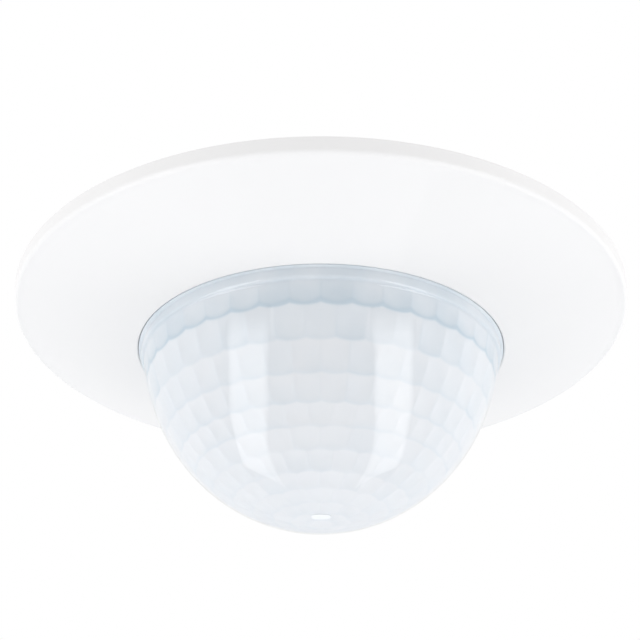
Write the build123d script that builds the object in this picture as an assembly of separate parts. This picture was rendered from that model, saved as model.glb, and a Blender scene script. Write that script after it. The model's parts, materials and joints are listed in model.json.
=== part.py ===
from build123d import *
import math
import os

# Recessed ceiling motion sensor (passive infrared, 360 degrees), as mounted:
# +Z up into the ceiling void, the lens dome hangs down along -Z.
# Origin: centre of the cover ring's back rim, in the plane of the ceiling's underside.
# All sizes in millimetres.

os.makedirs("parts", exist_ok=True)

# ---------------------------------------------------------------- driving dimensions
ring_r = 49.0            # cover ring, front edge of the rim
ring_back_r = 49.3       # cover ring, back edge of the rim (moulding draft)
ring_rim = 2.17          # height of the rim
hole_r = 29.5            # hole in the cover ring
hole_z = -6.43           # level of the hole's edge
ring_bulge = 0.35        # how far the ring's face bows out between rim and hole
ring_wall = 1.6

dome_c = -6.43           # centre of the dome's profile
dome_rho = (27.685, -0.328, 0.3675, -0.0245)   # profile radius against angle from straight down
dome_wall = 1.0
collar_r = 29.1          # plain collar at the base of the dome
collar_in = 28.1
collar_top = -1.7
collar_end = -8.05       # step between the collar and the faceted dome

flange_r = 42.0          # chassis flange behind the ring
flange_t = 1.4
spigot_r = 28.0
spigot_in = 26.2
spigot_end = -5.0

land_r = 33.7            # locating land at the foot of the body, fits the 68 mm ceiling hole
land_end = 4.0
tube_r = 33.2            # body above the land
tube_wall = 1.5
split_z = 12.0           # joint between chassis and rear housing
roof_z = 36.0            # rear wall, outer face
roof_edge = 0.9          # bevel round the rear wall
floor_z = 15.2           # floor of the wiring space, upper face
step_y = 7.0             # wall of the wiring space
chan_x = 27.4            # channels for the spring clips
chan_y = 7.0
chan_wall = 1.6

board_z0, board_z1 = -1.2, 0.4       # sensor board
board_r = 26.0
mask_z0, mask_z1 = -4.4, -3.2        # mask over the sensor board
pcb_z0, pcb_z1 = 10.8, 12.4          # power board
pcb_r = 29.8
pcb_flat = 25.4

clip_x, clip_z = 30.4, 7.0           # spring clip pivots
clip_pin_r = 1.0
clip_len = 15.3
hinge_y, hinge_z = 6.0, 37.6         # terminal cover hinge
hinge_pin_r = 0.8

grommet_y = 15.5
cable_r = 3.5

knob_at = {"lux": (-11.0, -9.0), "time": (11.0, -9.0)}
knob_r = 3.2
dip_y = 13.0
dip_x = (-3.81, -1.27, 1.27, 3.81)
button_y = -14.0
screw_at = [(23.5 * math.cos(math.radians(a)), 23.5 * math.sin(math.radians(a))) for a in (30, 150, 270)]
post_at = [(sx * 17.5, sy * 19.5) for sx in (-1, 1) for sy in (-1, 1)]
pole_x = (-10.0, -5.0, 0.0, 5.0, 10.0)
tab_angles = (45, 135, 225, 315)
leg_angles = (0, 90, 180, 270)


# ---------------------------------------------------------------- helpers
def box(x0, x1, y0, y1, z0, z1):
    return Pos((x0 + x1) / 2, (y0 + y1) / 2, (z0 + z1) / 2) * Box(x1 - x0, y1 - y0, z1 - z0)


def cyl(r, z0, z1, x=0.0, y=0.0):
    return Pos(x, y, (z0 + z1) / 2) * Cylinder(r, z1 - z0)


def ycyl(r, y0, y1, x, z):
    return Pos(x, (y0 + y1) / 2, z) * (Rot(90, 0, 0) * Cylinder(r, y1 - y0))


def xcyl(r, x0, x1, y, z):
    return Pos((x0 + x1) / 2, y, z) * (Rot(0, 90, 0) * Cylinder(r, x1 - x0))


def tube(ro, ri, z0, z1, x=0.0, y=0.0):
    return cyl(ro, z0, z1, x, y) - cyl(ri, z0 - 1, z1 + 1, x, y)


def sector(ro, ri, z0, z1, a, half):
    """Part of a tube centred on angle a, half degrees to each side."""
    t = tube(ro, ri, z0, z1)
    w = ro * 1.2
    wedge = Polyline((0, 0), (w * math.cos(math.radians(a - half)), w * math.sin(math.radians(a - half))),
                     (w * math.cos(math.radians(a + half)), w * math.sin(math.radians(a + half))), close=True)
    cut = Pos(0, 0, z0 - 1) * extrude(make_face(wedge), z1 - z0 + 2)
    return t & cut


def spin(lines):
    """Solid of revolution about Z from a closed outline in the XZ plane."""
    return revolve(make_face(lines), Axis.Z)


def solids_of(shape):
    s = shape.solids()
    return s[0] if len(s) == 1 else Compound(children=list(s))


def save(name, shape):
    export_step(solids_of(shape), "parts/%s.step" % name)


def group(name, shapes):
    out = []
    for s in shapes:
        out += list(s.solids())
    export_step(Compound(children=out), "parts/%s.step" % name)


# ---------------------------------------------------------------- cover ring
def ring_face_z(r, off=0.0):
    u = (ring_r - r) / (ring_r - hole_r)
    return -ring_rim + (hole_z + ring_rim) * u - ring_bulge * 4 * u * (1 - u) + off


def cover_ring():
    edge = 0.7                      # rounding of the rim's front edge
    lip = 0.35                      # rounding of the hole's edge
    r1, r2 = ring_r - edge, hole_r + lip
    mid = (r1 + r2) / 2
    face = ThreePointArc((r1, 0, ring_face_z(r1)), (mid, 0, ring_face_z(mid)), (r2, 0, ring_face_z(r2) + 0.02))
    rim_round = ThreePointArc((ring_r + 0.08, 0, -ring_rim + 0.55), (ring_r - 0.17, 0, -ring_rim - 0.02),
                              (r1, 0, ring_face_z(r1)))
    rim = Line((ring_back_r, 0, 0), (ring_r + 0.08, 0, -ring_rim + 0.55))
    lip_round = ThreePointArc((r2, 0, ring_face_z(r2) + 0.02), (hole_r + 0.1, 0, hole_z + 0.12), (hole_r, 0, hole_z + 0.4))
    wall = Line((hole_r, 0, hole_z + 0.4), (hole_r, 0, hole_z + 2.1))
    back1 = Line((hole_r, 0, hole_z + 2.1), (hole_r + 1.3, 0, hole_z + 2.1))
    back2 = ThreePointArc((hole_r + 1.3, 0, hole_z + 2.1), (mid, 0, ring_face_z(mid) + ring_wall),
                          (46.4, 0, ring_face_z(46.4) + ring_wall))
    back3 = Line((46.4, 0, ring_face_z(46.4) + ring_wall), (47.2, 0, 0))
    back4 = Line((47.2, 0, 0), (ring_back_r, 0, 0))
    body = spin([rim, rim_round, face, lip_round, wall, back1, back2, back3, back4])
    for a in leg_angles:            # skirt segments that grip the chassis flange
        body += sector(flange_r + 1.35, flange_r + 0.12, -2.6, -0.25, a, 15)
    return body


save("cover_ring", cover_ring())


# ---------------------------------------------------------------- lens dome
def rho(phi):
    a, b, c, d = dome_rho
    return a + b * phi ** 2 + c * phi ** 4 + d * phi ** 6


def lens_dome():
    def pt(phi, off):
        q = rho(phi) - off
        return (q * math.sin(phi), 0, dome_c - q * math.cos(phi))
    phi1 = math.radians(86.75)
    n = 12
    outer = [pt(phi1 * (1 - i / n), 0.0) for i in range(n + 1)]
    inner = [pt(phi1 * i / n, dome_wall) for i in range(n + 1)]
    o0 = outer[0]
    i1 = inner[-1]
    outline = [
        Line((collar_r, 0, collar_top), (collar_r, 0, collar_end + 0.15)),
        Line((collar_r, 0, collar_end + 0.15), (collar_r - 0.15, 0, collar_end)),
        Line((collar_r - 0.15, 0, collar_end), o0),
        Spline(outer, tangents=[(o0[0] - outer[0][0], 0, -1), (-1, 0, 0)]),
        Line(outer[-1], inner[0]),
        Spline(inner, tangents=[(1, 0, 0), (0, 0, 1)]),
        Line(i1, (i1[0], 0, -7.0)),
        Line((i1[0], 0, -7.0), (collar_in, 0, -5.6)),
        Line((collar_in, 0, -5.6), (collar_in, 0, collar_top)),
        Line((collar_in, 0, collar_top), (collar_r, 0, collar_top)),
    ]
    return spin(outline)


save("lens_dome", lens_dome())


# ---------------------------------------------------------------- plan outlines of the body
def channels(x, y, z0, z1):
    return box(x, 40, -y, y, z0, z1) + box(-40, -x, -y, y, z0, z1)


def rounded_plan(w, d, r, z0, z1, x=0.0, y=0.0):
    """Upright block with rounded corners in plan."""
    return Pos(x, y, z0) * extrude(RectangleRounded(w, d, r), z1 - z0)


def outer(z0, z1, edge=0.0):
    body = cyl(tube_r, z0, z1)
    if edge:                        # bevel round the top
        body = chamfer(body.edges().sort_by(Axis.Z)[-1], edge)
    return body - channels(chan_x, chan_y, z0 - 1, z1 + 1)


def inner(z0, z1):
    return cyl(tube_r - tube_wall, z0, z1) - channels(chan_x - chan_wall, chan_y + chan_wall, z0 - 1, z1 + 1)


# ---------------------------------------------------------------- front chassis
chassis = tube(flange_r, spigot_in, -flange_t, 0)
chassis += tube(spigot_r, spigot_in, spigot_end, 0)
chassis += outer(0, board_z1) - cyl(spigot_in, -1, 1)
chassis += outer(board_z1, 2.0) - cyl(23.0, 0, 3)
for x, y in screw_at:
    chassis += cyl(2.6, board_z1, 4.4, x, y)
for x, y in screw_at:
    chassis -= cyl(1.02, board_z1 - 1, 5, x, y)
for x, y in post_at:
    chassis += cyl(2.4, 1.9, pcb_z0, x, y)
chassis += outer(2.0, split_z) - inner(1.9, split_z + 1)
land = spin(Polyline((tube_r - 0.5, 0, 0), (land_r, 0, 0), (land_r, 0, land_end), (tube_r, 0, land_end + 0.5),
                     (tube_r - 0.5, 0, land_end + 0.5), close=True))
chassis += land - channels(chan_x, chan_y, -1, land_end + 2)
for a in tab_angles:                # windows for the rear housing's snap tabs
    chassis -= sector(tube_r + 1, tube_r - tube_wall - 0.4, 6.2, 8.6, a, 8.4)
for s in (-1, 1):                   # holes for the clip pivot pins
    chassis -= ycyl(clip_pin_r, -9.5, 9.5, s * clip_x, clip_z)
save("front_chassis", chassis)

# ---------------------------------------------------------------- rear housing
rear = outer(split_z, roof_z, roof_edge)
rear -= box(-40, 40, step_y, 40, floor_z, roof_z + 1)
cavity = inner(split_z - 1, roof_z - 1.6) - box(-40, 40, step_y - 1.6, 40, split_z + 1.6, roof_z + 1)
rear -= cavity
rear -= box(-13.9, 13.9, 8.6, 19.4, split_z, floor_z + 1)          # opening for the terminal block
rear -= box(-4.4, 4.4, 29.9, 32.6, split_z, floor_z + 1)           # slot for the cover's latch
for sx in (-1, 1):                  # strain-relief posts on the step wall
    rear += ycyl(2.4, step_y - 0.2, 19.0, sx * 7.5, 30.0)
rear += box(-4.0, 4.0, step_y - 0.2, 11.4, 28.4, 31.6)
for sx in (-1, 1):
    rear -= ycyl(1.02, 11.0, 20.0, sx * 7.5, 30.0)
for x0, x1 in ((-12.0, -4.1), (4.1, 12.0)):                        # hinge knuckles
    rear += xcyl(1.6, x0, x1, hinge_y, hinge_z) + box(x0, x1, hinge_y - 1.6, hinge_y + 0.9, roof_z - 0.4, hinge_z)
    rear -= xcyl(hinge_pin_r, x0 - 1, x1 + 1, hinge_y, hinge_z)
rear -= rounded_plan(26.0, 12.0, 1.2, roof_z - 0.35, roof_z + 1, 0, -17.5)      # sunk field for the rating label
for a in range(-24, 25, 8):         # cooling slots beside the transformer and relay
    rear -= sector(tube_r + 1, tube_r - tube_wall - 0.4, 24.0, 31.5, 270 + a, 1.1)
for a in tab_angles:                # snap tabs into the chassis
    rear += sector(tube_r - tube_wall - 0.15, 30.2, 5.0, split_z, a, 7)
    rear += sector(tube_r - 1.2, 30.2, split_z, split_z + 3.0, a, 7)
    rear += sector(tube_r - 1.2, tube_r - tube_wall - 0.3, 6.6, 8.2, a, 7)
save("rear_housing", rear)

# ---------------------------------------------------------------- terminal cover, pin, inlet
cover = outer(floor_z + 0.2, roof_z, roof_edge) - box(-40, 40, -40, step_y + 0.2, 0, 50)
cover -= cyl(tube_r - tube_wall, floor_z - 1, roof_z - 1.6)
cover += box(-3.7, 3.7, hinge_y + 0.2, hinge_y + 3.2, roof_z - 1.6, hinge_z + 1.0)
cover -= box(-3.8, 3.8, 0, step_y + 0.4, roof_z - 3, roof_z + 0.05)
cover += xcyl(1.6, -3.7, 3.7, hinge_y, hinge_z)
cover -= xcyl(hinge_pin_r + 0.05, -5, 5, hinge_y, hinge_z)
cover -= cyl(5.0, roof_z - 3, roof_z + 1, 0, grommet_y)
cover += box(-4.0, 4.0, 30.4, 31.2, floor_z - 0.8, floor_z + 3) & cyl(40, 0, 50)
cover += box(-4.0, 4.0, 31.0, 32.4, floor_z + 0.2, floor_z + 3)
save("terminal_cover", cover)

save("terminal_cover_pin", xcyl(hinge_pin_r, -12.0, 12.0, hinge_y, hinge_z))

grommet = tube(6.2, cable_r, roof_z, roof_z + 1.3, 0, grommet_y)
grommet += tube(5.0, cable_r, roof_z - 1.7, roof_z + 0.1, 0, grommet_y)
grommet += tube(6.2, cable_r, roof_z - 3.0, roof_z - 1.6, 0, grommet_y)
save("cable_grommet", grommet)

clamp = box(-10.2, 10.2, 19.0, 21.0, 27.8, 32.2)
for sx in (-1, 1):
    clamp -= ycyl(1.1, 18, 22, sx * 7.5, 30.0)
save("cable_clamp", clamp)
group("cable_clamp_screws", [
    (ycyl(1.9, 21.0, 22.3, sx * 7.5, 30.0) + ycyl(1.0, 12.2, 21.1, sx * 7.5, 30.0)
     - box(sx * 7.5 - 1.4, sx * 7.5 + 1.4, 21.7, 23, 29.75, 30.25) - box(sx * 7.5 - 0.25, sx * 7.5 + 0.25, 21.7, 23, 28.6, 31.4))
    for sx in (-1, 1)])

# ---------------------------------------------------------------- spring clips
# Each arm pivots on a pin across its channel; at rest it points outwards and presses on
# the ceiling panel, and it folds up along the body for fitting.
def clip_arm(s):
    tip = clip_x + clip_len
    arm = box(clip_x + 1.2, tip, -6.3, 6.3, clip_z - 0.9, clip_z + 0.9)
    arm += box(tip - 1.8, tip, -6.3, 6.3, clip_z - 1.9, clip_z)
    for y0, y1 in ((-6.3, -2.7), (2.7, 6.3)):
        arm += ycyl(2.3, y0, y1, clip_x, clip_z)
    arm -= box(clip_x - 3, clip_x + 3.6, -2.7, 2.7, clip_z - 3, clip_z + 3)
    arm -= box(clip_x + 6.5, tip - 4.0, -3.0, 3.0, clip_z - 3, clip_z + 3)
    arm -= ycyl(clip_pin_r + 0.05, -8, 8, clip_x, clip_z)
    x0 = clip_x - 8.0               # rounded corners at the tip
    arm &= rounded_plan(tip - x0, 12.6, 1.8, clip_z - 4, clip_z + 4, (tip + x0) / 2)
    return arm if s > 0 else mirror(arm, Plane.YZ)


def clip_spring(s):
    # coil round the pin, one leg along the arm, one short hooked leg
    sp = ycyl(2.05, -2.3, 2.3, clip_x, clip_z) - ycyl(1.35, -3, 3, clip_x, clip_z)
    sp += xcyl(0.35, clip_x + 0.6, clip_x + 6.2, 1.9, clip_z + 1.6) + ycyl(0.35, -2.25, -1.55, clip_x - 2.15, clip_z)
    return sp if s > 0 else mirror(sp, Plane.YZ)


save("clip_arm_right", clip_arm(1))
save("clip_arm_left", clip_arm(-1))
save("clip_spring_right", clip_spring(1))
save("clip_spring_left", clip_spring(-1))
group("clip_pins", [ycyl(clip_pin_r, -8.5, 8.5, s * clip_x, clip_z) for s in (-1, 1)])

# ---------------------------------------------------------------- mask over the sensor board
disc = cyl(26.0, mask_z0, mask_z1)
mask = chamfer(disc.edges().sort_by(Axis.Z)[0], 0.4) + tube(26.0, 24.9, mask_z1 - 0.1, board_z0)
for x, y in screw_at:
    mask += cyl(2.4, mask_z1 - 0.1, board_z0, x, y)
for x, y in screw_at:
    mask -= cyl(1.15, -6, 0, x, y)
mask -= cyl(5.2, -6, 0)                                # infrared sensor
mask += tube(7.0, 5.2, mask_z0 - 0.6, mask_z0 + 0.1)
for x, y in knob_at.values():
    mask -= cyl(knob_r + 0.35, -6, 0, x, y)
mask -= box(-6.1, 6.1, dip_y - 3.6, dip_y + 3.6, -6, 0)
mask -= cyl(2.3, -6, 0, 0, button_y)
mask -= cyl(1.7, -6, 0, -7.5, 5.5)
mask -= cyl(1.7, -6, 0, 7.5, 5.5)
mask -= cyl(2.5, -6, 0, -14.5, 7.0)
mask -= box(11.3, 17.7, 4.2, 9.8, -6, 0)
save("front_mask", mask)
group("mask_screws", [
    (cyl(2.1, mask_z0 - 1.3, mask_z0, x, y) + cyl(1.0, mask_z0 - 0.1, 3.6, x, y)
     - box(x - 1.6, x + 1.6, y - 0.28, y + 0.28, mask_z0 - 2, mask_z0 - 0.6)
     - box(x - 0.28, x + 0.28, y - 1.6, y + 1.6, mask_z0 - 2, mask_z0 - 0.6))
    for x, y in screw_at])

# ---------------------------------------------------------------- sensor board and what is on it
board = cyl(board_r, board_z0, board_z1)
for x, y in screw_at:
    board -= cyl(1.15, -3, 3, x, y)
save("sensor_board", board)

save("pyro_collar", tube(5.0, 2.6, board_z0 - 0.9, board_z0))
can = cyl(4.6, board_z0 - 1.4, board_z0 - 0.9) + cyl(4.1, board_z0 - 5.2, board_z0 - 1.3)
can -= box(-2.0, 2.0, -1.6, 1.6, board_z0 - 6, board_z0 - 4.7)
save("pyro_sensor", can)
save("pyro_window", box(-1.95, 1.95, -1.55, 1.55, board_z0 - 5.15, board_z0 - 4.7))

save("light_sensor", box(-16.2, -12.8, 5.7, 8.3, board_z0 - 0.9, board_z0))
guide = cyl(2.15, -4.7, -2.4, -14.5, 7.0) + (Pos(-14.5, 7.0, -4.7) * Sphere(2.15) & box(-20, -10, 0, 12, -6.0, -4.6))
save("light_guide", guide)

ir = box(11.6, 17.4, 4.5, 9.5, -4.3, board_z0) + (Pos(14.5, 7.0, -4.0) * Sphere(2.1) & box(10, 20, 0, 12, -5.9, -4.1))
save("ir_receiver", ir)


def led(x, y):
    return cyl(1.5, -4.4, board_z0, x, y) + (Pos(x, y, -4.4) * Sphere(1.5) & box(x - 3, x + 3, y - 3, y + 3, -6, -4.3))


save("status_led_red", led(-7.5, 5.5))
save("status_led_green", led(7.5, 5.5))

for name, (x, y) in knob_at.items():
    trimmer = box(x - 3.3, x + 3.3, y - 3.3, y + 3.3, -2.9, board_z0) - cyl(1.25, -4, -1.6, x, y)
    save(name + "_trimmer", trimmer)
    knob = cyl(knob_r, -5.9, -3.2, x, y) + cyl(1.2, -3.3, -1.7, x, y)
    knob -= box(x - 4, x + 4, y - 0.5, y + 0.5, -7, -5.0)                     # screwdriver slot
    knob -= Pos(x, y + knob_r, -5.6) * Box(0.9, 1.6, 1.4)                     # pointer notch
    for k in range(1, 18):                                                    # fluted grip
        a = math.radians(90 + 20 * k)
        knob -= cyl(0.3, -6.5, -4.3, x + (knob_r + 0.08) * math.cos(a), y + (knob_r + 0.08) * math.sin(a))
    save(name + "_knob", knob)

dip = box(-5.7, 5.7, dip_y - 3.1, dip_y + 3.1, -4.6, board_z0)
for x in dip_x:
    dip -= box(x - 0.75, x + 0.75, dip_y - 1.6, dip_y + 1.6, -5, -3.4)
save("dip_switch", dip)
for i, x in enumerate(dip_x):
    slider = box(x - 0.65, x + 0.65, dip_y - 1.5, dip_y - 0.1, -5.4, -3.5)
    save("dip_slider_%d" % (i + 1), slider)

tact = box(-3.0, 3.0, button_y - 3.0, button_y + 3.0, -3.1, board_z0) - cyl(1.75, -4, -1.8, 0, button_y)
save("test_switch", tact)
save("test_button", cyl(1.7, -5.7, -2.25, 0, button_y) + cyl(2.0, -5.7, -5.0, 0, button_y))

save("microcontroller", box(-12.0, -5.0, -3.5, 3.5, board_z1, board_z1 + 1.1))

socket = box(-6.6, 6.6, 17.0, 19.6, board_z1, 7.4)
pins = []
for i in range(5):
    x = (i - 2) * 2.54
    socket -= box(x - 0.45, x + 0.45, 18.3 - 0.45, 18.3 + 0.45, 2.0, 8)
    pins.append(x)
save("board_socket", socket)
header = box(-6.6, 6.6, 17.0, 19.6, 8.4, pcb_z0)
for x in pins:
    header += box(x - 0.32, x + 0.32, 18.3 - 0.32, 18.3 + 0.32, 2.8, 8.5)
save("board_header", header)

# ---------------------------------------------------------------- power board and what is on it
pcb = cyl(pcb_r, pcb_z0, pcb_z1) & box(-pcb_flat, pcb_flat, -40, 40, 0, 40)
save("power_board", pcb)


def bevelled(shape, r):
    return fillet(shape.edges().filter_by(Axis.Z), r)


save("relay", bevelled(box(-19.5, -0.5, -13.0, -3.0, pcb_z1, pcb_z1 + 15.5), 0.6))
save("film_capacitor", bevelled(box(-10.5, 6.5, -25.0, -16.8, pcb_z1, pcb_z1 + 14.5), 0.5))


def can_cap(x, y, r, h):
    c = cyl(r, pcb_z1, pcb_z1 + h, x, y)
    c -= tube(r + 1, r - 0.35, pcb_z1 + 1.6, pcb_z1 + 2.4, x, y)
    c -= box(x - r, x + r, y - 0.2, y + 0.2, pcb_z1 + h - 0.3, pcb_z1 + h + 1)
    c -= box(x - 0.2, x + 0.2, y - r, y + r, pcb_z1 + h - 0.3, pcb_z1 + h + 1)
    return c


save("bulk_capacitor", can_cap(7.3, -8.5, 5.0, 17.0))
save("output_capacitor", can_cap(16.8, -13.2, 3.15, 11.0))

core = box(13.6, 24.6, -8.2, 3.4, pcb_z1, pcb_z1 + 3.0) + box(13.6, 24.6, -8.2, 3.4, pcb_z1 + 9.0, pcb_z1 + 12.0)
core += box(13.6, 24.6, -8.2, -6.2, pcb_z1, pcb_z1 + 12.0) + box(13.6, 24.6, 1.4, 3.4, pcb_z1, pcb_z1 + 12.0)
core += cyl(3.9, pcb_z1 + 2.9, pcb_z1 + 9.1, 19.1, -2.4)
save("transformer", core)

mov = ycyl(4.4, -19.6, -15.8, -17.0, pcb_z1 + 5.6) + box(-19.8, -14.2, -18.6, -16.8, pcb_z1, pcb_z1 + 3.0)
save("varistor", mov)
save("fuse", cyl(4.0, pcb_z1, pcb_z1 + 7.6, 12.6, -21.0))

# ---------------------------------------------------------------- terminals
block = box(-13.5, 13.5, 9.0, 19.0, pcb_z1, 26.0)
cages, screws = [], []
for x in pole_x:
    block -= cyl(1.7, 22.0, 27, x, 13.5)
    block -= box(x - 1.95, x + 1.95, 11.4, 15.7, 15.9, 22.1)
    block -= ycyl(1.75, 15.5, 20.0, x, 19.0)
    cage = box(x - 1.8, x + 1.8, 11.5, 15.6, 16.0, 22.0) - box(x - 1.3, x + 1.3, 12.0, 15.0, 15, 23)
    cages.append(cage)
    screws.append(ycyl(1.6, 17.0, 18.5, x, 19.0) + ycyl(1.0, 15.65, 17.1, x, 19.0)
                  - box(x - 2, x + 2, 17.9, 20, 18.75, 19.25))
save("terminal_block", block)
group("terminal_cages", cages)
group("terminal_screws", screws)
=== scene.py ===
import json
import math
import bpy
import bmesh
import numpy as np
from mathutils import Matrix, Vector


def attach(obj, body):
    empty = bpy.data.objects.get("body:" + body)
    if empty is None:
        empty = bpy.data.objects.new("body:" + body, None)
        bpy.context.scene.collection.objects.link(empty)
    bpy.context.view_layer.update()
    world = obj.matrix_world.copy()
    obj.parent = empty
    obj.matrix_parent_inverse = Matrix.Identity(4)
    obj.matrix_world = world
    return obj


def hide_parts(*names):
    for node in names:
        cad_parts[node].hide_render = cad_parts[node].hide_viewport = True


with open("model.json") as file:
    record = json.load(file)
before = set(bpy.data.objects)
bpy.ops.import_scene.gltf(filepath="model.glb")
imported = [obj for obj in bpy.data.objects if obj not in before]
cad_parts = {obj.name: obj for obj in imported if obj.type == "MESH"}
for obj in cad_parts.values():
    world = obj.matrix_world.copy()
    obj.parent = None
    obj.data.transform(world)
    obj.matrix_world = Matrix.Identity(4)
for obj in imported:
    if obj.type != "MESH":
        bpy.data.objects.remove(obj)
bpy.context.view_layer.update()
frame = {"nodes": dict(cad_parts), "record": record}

MM = 0.001
scene = bpy.context.scene
scene.view_settings.view_transform = "Standard"
scene.view_settings.look = "None"
scene.view_settings.exposure = 0.0
scene.view_settings.gamma = 1.0


# ------------------------------------------------------------------ node helpers
def new_material(name):
    m = bpy.data.materials.new(name)
    m.use_nodes = True
    t = m.node_tree
    t.nodes.clear()
    out = t.nodes.new("ShaderNodeOutputMaterial")
    return m, t, out


def noise(t, scale, detail=3.0, rough=0.55, coords=None):
    n = t.nodes.new("ShaderNodeTexNoise")
    n.inputs["Scale"].default_value = scale
    n.inputs["Detail"].default_value = detail
    n.inputs["Roughness"].default_value = rough
    if coords is None:
        coords = t.nodes.new("ShaderNodeTexCoord").outputs["Object"]
    t.links.new(coords, n.inputs["Vector"])
    return n.outputs["Fac"]


def ramp(t, fac, stops):
    r = t.nodes.new("ShaderNodeValToRGB")
    e = r.color_ramp.elements
    while len(e) < len(stops):
        e.new(0.5)
    for k, (pos, col) in enumerate(stops):
        e[k].position = pos
        e[k].color = (*col, 1.0) if len(col) == 3 else col
    t.links.new(fac, r.inputs["Fac"])
    return r.outputs["Color"]


def span(t, fac, lo, hi):
    """Maps 0.25..0.75 of a noise to lo..hi."""
    r = t.nodes.new("ShaderNodeMapRange")
    r.inputs["From Min"].default_value = 0.25
    r.inputs["From Max"].default_value = 0.75
    r.inputs["To Min"].default_value = lo
    r.inputs["To Max"].default_value = hi
    t.links.new(fac, r.inputs["Value"])
    return r.outputs["Result"]


def bump(t, height, strength, distance, normal=None):
    b = t.nodes.new("ShaderNodeBump")
    b.inputs["Strength"].default_value = strength
    b.inputs["Distance"].default_value = distance
    t.links.new(height, b.inputs["Height"])
    if normal is not None:
        t.links.new(normal, b.inputs["Normal"])
    return b.outputs["Normal"]


def shade(c, k):
    return tuple(min(1.0, max(0.0, x * k)) for x in c)


def solid(name, color, rough=(0.35, 0.45), metallic=0.0, grain=900.0, depth=0.00001, strength=0.25,
          mottle=60.0, vary=0.03, specular=0.5, coat=0.0, coat_rough=0.1, subsurface=0.0, stretch=None, sheen=0.0,
          edge=0.00022):
    """Moulded, cast or plated surface: colour drifts slowly, roughness and bump follow a fine grain, edges catch light."""
    m, t, out = new_material(name)
    p = t.nodes.new("ShaderNodeBsdfPrincipled")
    t.links.new(p.outputs["BSDF"], out.inputs["Surface"])
    tc = t.nodes.new("ShaderNodeTexCoord").outputs["Object"]
    if stretch is not None:
        mp = t.nodes.new("ShaderNodeMapping")
        mp.inputs["Scale"].default_value = stretch
        t.links.new(tc, mp.inputs["Vector"])
        fine_co = mp.outputs["Vector"]
    else:
        fine_co = tc
    slow = noise(t, mottle, 4.0, 0.6, tc)
    fine = noise(t, grain, 4.0, 0.6, fine_co)
    t.links.new(ramp(t, slow, [(0.3, shade(color, 1 - vary)), (0.7, shade(color, 1 + vary))]), p.inputs["Base Color"])
    t.links.new(span(t, fine, *rough), p.inputs["Roughness"])
    soft = None
    if edge:
        bevel = t.nodes.new("ShaderNodeBevel")
        bevel.samples = 4
        bevel.inputs["Radius"].default_value = edge
        soft = bevel.outputs["Normal"]
    t.links.new(bump(t, fine, strength, depth, soft), p.inputs["Normal"])
    p.inputs["Metallic"].default_value = metallic
    p.inputs["Specular IOR Level"].default_value = specular
    if coat:
        p.inputs["Coat Weight"].default_value = coat
        p.inputs["Coat Roughness"].default_value = coat_rough
    if subsurface:
        p.inputs["Subsurface Weight"].default_value = subsurface
        p.inputs["Subsurface Scale"].default_value = 0.001
    if sheen:
        p.inputs["Sheen Weight"].default_value = sheen
    return m


# ------------------------------------------------------------------ mesh helpers
def make_object(name, verts, faces, material=None, smooth=True, face_materials=None, materials=None):
    me = bpy.data.meshes.new(name)
    me.from_pydata([tuple(v) for v in verts], [], faces)
    ob = bpy.data.objects.new(name, me)
    scene.collection.objects.link(ob)
    for m in (materials or ([material] if material else [])):
        me.materials.append(m)
    if face_materials is not None:
        me.polygons.foreach_set("material_index", face_materials)
    me.polygons.foreach_set("use_smooth", [smooth] * len(me.polygons))
    me.update()
    return ob


def outward(ob):
    """Turns the faces of a closed mesh outwards."""
    bm = bmesh.new()
    bm.from_mesh(ob.data)
    bmesh.ops.recalc_face_normals(bm, faces=bm.faces)
    bm.to_mesh(ob.data)
    bm.free()
    return ob


# ------------------------------------------------------------------ camera
cam_data = bpy.data.cameras.new("camera")
cam_data.sensor_width = 36.0
cam_data.lens = 58.39
cam_data.shift_x = -1.0 / 640.0
cam_data.clip_start = 0.005
cam_data.clip_end = 20.0
camera = bpy.data.objects.new("camera", cam_data)
camera.location = (0.0, -0.15109, -0.08332)
camera.rotation_euler = (math.radians(119.26), 0.0, 0.0)
scene.collection.objects.link(camera)
scene.camera = camera


# ------------------------------------------------------------------ stage: ceiling panel above, floor far below, soft lights
def stage_quad(name, half, z, material, down=False):
    v = [(-half, -half, z), (half, -half, z), (half, half, z), (-half, half, z)]
    f = [(3, 2, 1, 0)] if down else [(0, 1, 2, 3)]
    o = make_object(name, v, f, material, smooth=False)
    return o


CEIL_CAMERA, CEIL_LIGHT = 1.0, 0.92
m, t, out = new_material("ceiling_paint")
emit = t.nodes.new("ShaderNodeEmission")
path = t.nodes.new("ShaderNodeLightPath")
mr = t.nodes.new("ShaderNodeMapRange")
mr.inputs["To Min"].default_value = CEIL_LIGHT
mr.inputs["To Max"].default_value = CEIL_CAMERA
t.links.new(path.outputs["Is Camera Ray"], mr.inputs["Value"])
t.links.new(mr.outputs["Result"], emit.inputs["Strength"])
clear = t.nodes.new("ShaderNodeBsdfTransparent")
mix = t.nodes.new("ShaderNodeMixShader")
geo = t.nodes.new("ShaderNodeNewGeometry")
t.links.new(geo.outputs["Backfacing"], mix.inputs["Fac"])
t.links.new(emit.outputs["Emission"], mix.inputs[1])
t.links.new(clear.outputs["BSDF"], mix.inputs[2])
t.links.new(mix.outputs["Shader"], out.inputs["Surface"])
ceiling = stage_quad("stage_ceiling", 0.45, 0.00025, m, down=True)

m, t, out = new_material("floor_paint")
p = t.nodes.new("ShaderNodeBsdfPrincipled")
t.links.new(p.outputs["BSDF"], out.inputs["Surface"])
fl = noise(t, 3.0, 3.0)
t.links.new(ramp(t, fl, [(0.3, (0.86, 0.87, 0.88)), (0.7, (0.89, 0.90, 0.91))]), p.inputs["Base Color"])
p.inputs["Roughness"].default_value = 0.9
p.inputs["Specular IOR Level"].default_value = 0.1
stage_quad("stage_floor", 3.0, -0.9, m)

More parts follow.
